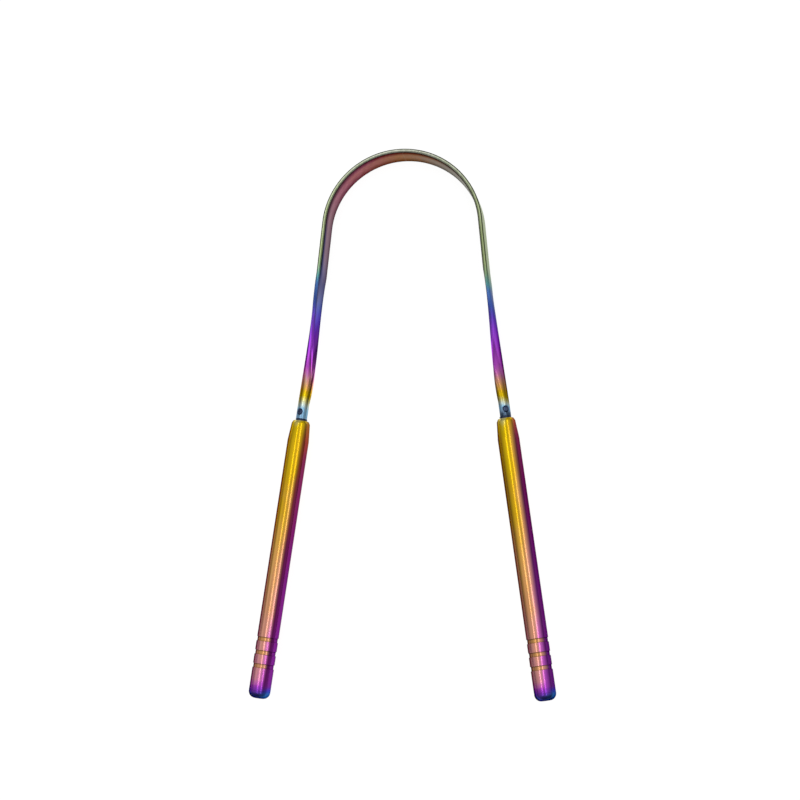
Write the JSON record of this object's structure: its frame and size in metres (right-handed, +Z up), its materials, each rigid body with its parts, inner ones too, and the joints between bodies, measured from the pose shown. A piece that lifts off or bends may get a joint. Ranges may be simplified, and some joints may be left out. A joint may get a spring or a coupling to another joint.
{
  "type": "tongue scraper",
  "caption": "U-shaped metal tongue scraper: a springy bent strip whose legs roll into round necks, with grooved round handles that push on, in a rainbow film finish.",
  "frame": {"origin": "under the middle of the tool's box, on the surface that the strip's lower edge rests on", "axes": "+Y from the handles to the arch along the mirror plane, +X across the legs, +Z up, with the tool lying flat"},
  "size_m": [0.0806, 0.146, 0.009],
  "materials": {
    "film_band": "rainbow oxide film on steel strip",
    "film_neck": "dark blue oxide film on turned steel",
    "bare_pin": "bright steel",
    "film_handle": "gold to magenta oxide film on brushed steel tube",
    "bare_steel": "plain turned steel",
    "film_end": "dark blue oxide film on turned steel"
  },
  "bodies": {
    "band": {"scraper_band": "film_band"},
    "left_neck": {"left_neck_stud": "film_neck", "left_cross_pin": "bare_pin"},
    "left_handle": {"left_handle_tube": "film_handle", "left_socket_bush": "bare_steel", "left_end_plug": "film_end"},
    "right_neck": {"right_neck_stud": "film_neck", "right_cross_pin": "bare_pin"},
    "right_handle": {"right_handle_tube": "film_handle", "right_socket_bush": "bare_steel", "right_end_plug": "film_end"}
  },
  "joints": [
    {"name": "left_leg_flex", "type": "hinge", "parent": "band", "child": "left_neck", "pos_m": [-0.0134, 0.06481, 0.0045], "axis": [0, 0, 1], "range_deg": [-4, 8], "stiffness_Nm_per_rad": 6.3, "deforming": ["scraper_band"]},
    {"name": "left_handle_pull", "type": "slide", "parent": "left_neck", "child": "left_handle", "axis": [-0.14, -0.9901, 0], "range_m": [0, 0.017]},
    {"name": "right_leg_flex", "type": "hinge", "parent": "band", "child": "right_neck", "pos_m": [0.0134, 0.06481, 0.0045], "axis": [0, 0, -1], "range_deg": [-4, 8], "stiffness_Nm_per_rad": 6.3, "deforming": ["scraper_band"]},
    {"name": "right_handle_pull", "type": "slide", "parent": "right_neck", "child": "right_handle", "axis": [0.14, -0.9901, 0], "range_m": [0, 0.017]}
  ]
}
